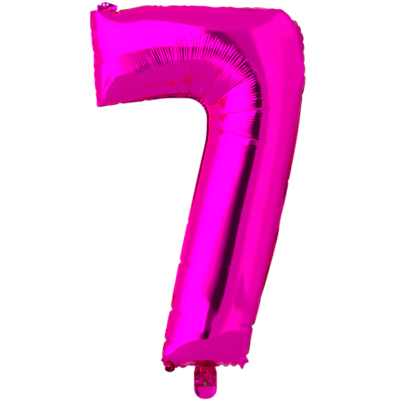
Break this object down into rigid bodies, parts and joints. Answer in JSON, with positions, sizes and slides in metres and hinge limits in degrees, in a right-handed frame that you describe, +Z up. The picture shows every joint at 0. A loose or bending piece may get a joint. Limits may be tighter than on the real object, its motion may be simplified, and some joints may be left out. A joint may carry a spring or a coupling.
{
  "type": "foil number balloon",
  "caption": "Inflated foil balloon in the shape of the figure seven, with a welded rim, a fill tail around a self-sealing film valve, and folding hanging tabs.",
  "frame": {"origin": "the neck: the middle of the line on the bottom rim that the fill tail hangs from, in the plane of the weld", "axes": "+X to the right of the figure as it is read, +Y to its back, +Z up"},
  "size_m": [0.521, 0.2324, 0.9322],
  "materials": {
    "foil": "magenta metallised plastic film, mirror gloss",
    "valve_film": "clear thin polyethylene film"
  },
  "bodies": {
    "body": {"front_panel": "foil", "back_panel": "foil", "valve_front_film": "valve_film", "valve_back_film": "valve_film"},
    "tail": {"tail_front_foil": "foil", "tail_back_foil": "foil", "tail_valve_front_film": "valve_film", "tail_valve_back_film": "valve_film"},
    "top_tab": {"top_tab_front_foil": "foil", "top_tab_back_foil": "foil"},
    "bottom_tab": {"bottom_tab_front_foil": "foil", "bottom_tab_back_foil": "foil"}
  },
  "joints": [
    {"name": "tail_fold", "type": "hinge", "parent": "body", "child": "tail", "pos_m": [0, 0, -0.0015], "axis": [1, 0, 0], "range_deg": [-110, 110]},
    {"name": "top_tab_fold", "type": "hinge", "parent": "body", "child": "top_tab", "pos_m": [-0.23, 0, 0.8485], "axis": [1, 0, 0], "range_deg": [-90, 90], "stiffness_Nm_per_rad": 0.0002},
    {"name": "bottom_tab_fold", "type": "hinge", "parent": "body", "child": "bottom_tab", "pos_m": [-0.08, 0, -0.0015], "axis": [1, 0, 0], "range_deg": [-110, 110]}
  ]
}
